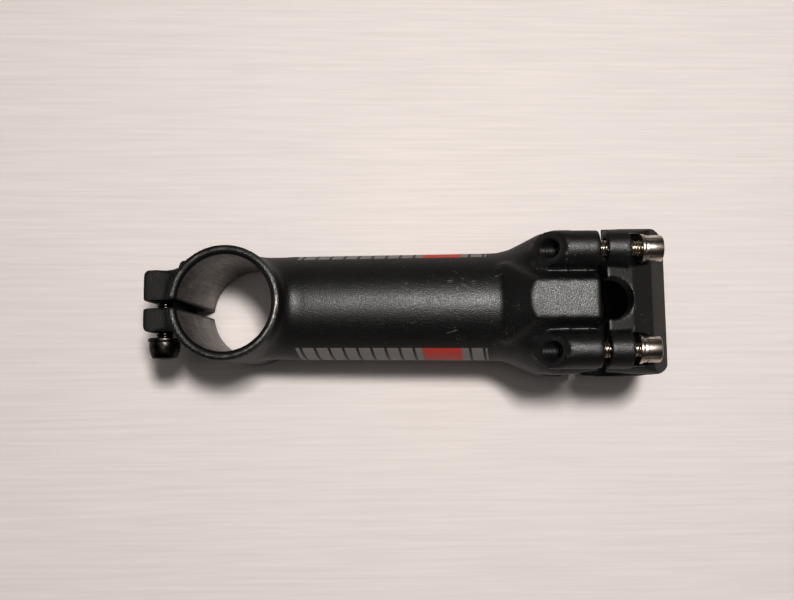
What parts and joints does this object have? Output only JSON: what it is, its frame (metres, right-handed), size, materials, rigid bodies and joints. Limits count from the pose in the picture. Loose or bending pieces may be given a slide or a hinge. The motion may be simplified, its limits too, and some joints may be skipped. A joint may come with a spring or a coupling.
{
  "type": "bicycle handlebar stem",
  "caption": "Threadless bicycle stem: split steerer collar with pinch bolts, round hollow extension, and a handlebar clamp closed by a bolted faceplate.",
  "frame": {"origin": "centre of the steerer bore, half way up the collar", "axes": "+Z along the steerer axis, away from the fork; +X forwards towards the handlebar; +Y completes the frame, and is the left side; the two pinch bolts go in from opposite sides"},
  "size_m": [0.1564, 0.0436, 0.0598],
  "materials": {
    "black_anodised_aluminium": "satin black, bead-blasted and anodised",
    "bright_steel": "bright turned steel",
    "black_steel": "blackened steel"
  },
  "bodies": {
    "stem": {"stem_body": "black_anodised_aluminium"},
    "faceplate": {"faceplate": "black_anodised_aluminium"},
    "washer_faceplate_upper_right": {"faceplate_washer_upper_right": "bright_steel"},
    "bolt_faceplate_upper_right": {"faceplate_bolt_upper_right": "bright_steel"},
    "washer_faceplate_upper_left": {"faceplate_washer_upper_left": "bright_steel"},
    "bolt_faceplate_upper_left": {"faceplate_bolt_upper_left": "bright_steel"},
    "washer_faceplate_lower_right": {"faceplate_washer_lower_right": "bright_steel"},
    "bolt_faceplate_lower_right": {"faceplate_bolt_lower_right": "bright_steel"},
    "washer_faceplate_lower_left": {"faceplate_washer_lower_left": "bright_steel"},
    "bolt_faceplate_lower_left": {"faceplate_bolt_lower_left": "bright_steel"},
    "washer_steerer_upper": {"steerer_washer_upper": "black_steel"},
    "bolt_steerer_upper": {"steerer_bolt_upper": "black_steel"},
    "washer_steerer_lower": {"steerer_washer_lower": "black_steel"},
    "bolt_steerer_lower": {"steerer_bolt_lower": "black_steel"}
  },
  "joints": [
    {"name": "faceplate_slide", "type": "slide", "parent": "stem", "child": "faceplate", "axis": [0.9925, 0, -0.1219], "range_m": [-0.00178, 0.034]},
    {"name": "screw_faceplate_upper_right", "type": "slide", "parent": "faceplate", "child": "washer_faceplate_upper_right", "axis": [0.9925, 0, -0.1219], "range_m": [-0.00198, 0.0066]},
    {"name": "turn_faceplate_upper_right", "type": "hinge", "parent": "washer_faceplate_upper_right", "child": "bolt_faceplate_upper_right", "pos_m": [0.11791, -0.0148, 0.00598], "axis": [0.9925, 0, -0.1219], "range_deg": [-892, 2971]},
    {"name": "screw_faceplate_upper_left", "type": "slide", "parent": "faceplate", "child": "washer_faceplate_upper_left", "axis": [0.9925, 0, -0.1219], "range_m": [-0.00358, 0.005]},
    {"name": "turn_faceplate_upper_left", "type": "hinge", "parent": "washer_faceplate_upper_left", "child": "bolt_faceplate_upper_left", "pos_m": [0.11791, 0.0148, 0.00598], "axis": [0.9925, 0, -0.1219], "range_deg": [-1612, 2251]},
    {"name": "screw_faceplate_lower_right", "type": "slide", "parent": "faceplate", "child": "washer_faceplate_lower_right", "axis": [0.9925, 0, -0.1219], "range_m": [-0.00138, 0.0072]},
    {"name": "turn_faceplate_lower_right", "type": "hinge", "parent": "washer_faceplate_lower_right", "child": "bolt_faceplate_lower_right", "pos_m": [0.11296, -0.0148, -0.03432], "axis": [0.9925, 0, -0.1219], "range_deg": [-622, 3241]},
    {"name": "screw_faceplate_lower_left", "type": "slide", "parent": "faceplate", "child": "washer_faceplate_lower_left", "axis": [0.9925, 0, -0.1219], "range_m": [-0.00238, 0.0062]},
    {"name": "turn_faceplate_lower_left", "type": "hinge", "parent": "washer_faceplate_lower_left", "child": "bolt_faceplate_lower_left", "pos_m": [0.11296, 0.0148, -0.03432], "axis": [0.9925, 0, -0.1219], "range_deg": [-1072, 2791]},
    {"name": "screw_steerer_upper", "type": "slide", "parent": "stem", "child": "washer_steerer_upper", "axis": [0, -1, 0], "range_m": [-0.00158, 0.00638]},
    {"name": "turn_steerer_upper", "type": "hinge", "parent": "washer_steerer_upper", "child": "bolt_steerer_upper", "pos_m": [-0.02, -0.0082, 0.0115], "axis": [0, -1, 0], "range_deg": [-712, 2872]},
    {"name": "screw_steerer_lower", "type": "slide", "parent": "stem", "child": "washer_steerer_lower", "axis": [0, 1, 0], "range_m": [-0.00058, 0.00518]},
    {"name": "turn_steerer_lower", "type": "hinge", "parent": "washer_steerer_lower", "child": "bolt_steerer_lower", "pos_m": [-0.02, 0.0104, -0.0115], "axis": [0, 1, 0], "range_deg": [-262, 2332]}
  ],
  "couplings": [
    {"joint": "turn_faceplate_upper_right", "follows": "screw_faceplate_upper_right", "rad_per_m": 7854},
    {"joint": "turn_faceplate_upper_left", "follows": "screw_faceplate_upper_left", "rad_per_m": 7854},
    {"joint": "turn_faceplate_lower_right", "follows": "screw_faceplate_lower_right", "rad_per_m": 7854},
    {"joint": "turn_faceplate_lower_left", "follows": "screw_faceplate_lower_left", "rad_per_m": 7854},
    {"joint": "turn_steerer_upper", "follows": "screw_steerer_upper", "rad_per_m": 7854},
    {"joint": "turn_steerer_lower", "follows": "screw_steerer_lower", "rad_per_m": 7854}
  ]
}
